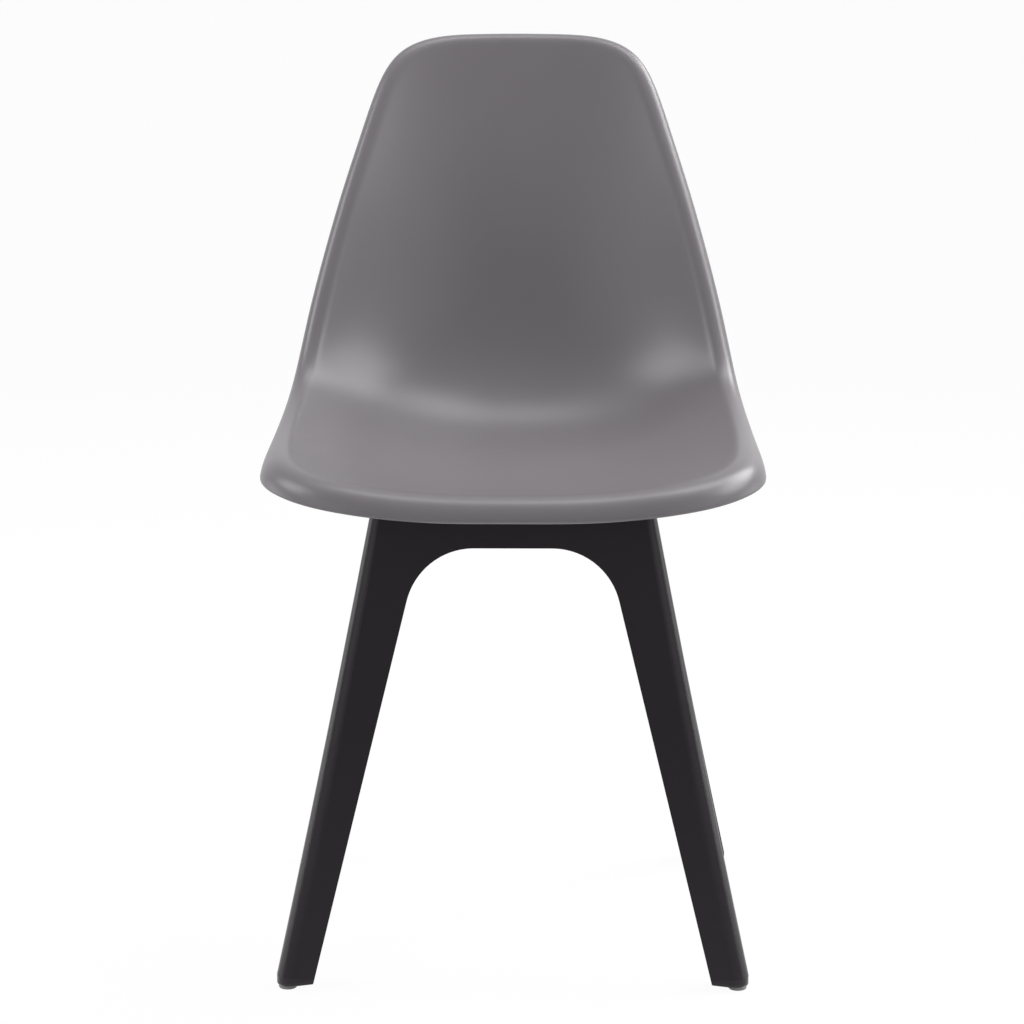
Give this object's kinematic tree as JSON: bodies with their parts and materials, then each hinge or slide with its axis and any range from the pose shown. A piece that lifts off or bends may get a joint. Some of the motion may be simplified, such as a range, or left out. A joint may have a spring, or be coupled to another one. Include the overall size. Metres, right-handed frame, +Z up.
{
  "type": "moulded plastic shell chair",
  "caption": "Moulded plastic shell chair with a rolled-rim bowl seat and back, bolted on tapering arched leg frames with capped feet.",
  "frame": {"origin": "on the floor, under the middle of the chair's bounding box", "axes": "+X across the chair to the right as seen from the front, -Y towards the front edge of the seat, +Z up"},
  "size_m": [0.4534, 0.5366, 0.8432],
  "materials": {
    "shell_plastic": "satin grey polypropylene",
    "frame_plastic": "satin black, fine grain",
    "cap_plastic": "satin black",
    "glide_nylon": "smooth dark nylon",
    "pad_rubber": "soft black",
    "brass": "plain turned",
    "steel": "zinc plated"
  },
  "bodies": {
    "root": {"seat_shell": "shell_plastic", "front_leg_frame": "frame_plastic", "rear_leg_frame": "frame_plastic", "foot_cap_front_left": "cap_plastic", "foot_cap_front_right": "cap_plastic", "foot_cap_rear_left": "cap_plastic", "foot_cap_rear_right": "cap_plastic", "foot_glide_front_left": "glide_nylon", "foot_glide_front_right": "glide_nylon", "foot_glide_rear_left": "glide_nylon", "foot_glide_rear_right": "glide_nylon", "spacer_pad_front_left": "pad_rubber", "spacer_pad_front_right": "pad_rubber", "spacer_pad_rear_left": "pad_rubber", "spacer_pad_rear_right": "pad_rubber", "thread_inserts": "brass", "seat_washers": "steel", "seat_bolts": "steel", "tie_washers": "steel", "tie_bolts": "steel", "tie_nuts": "steel"}
  },
  "joints": []
}
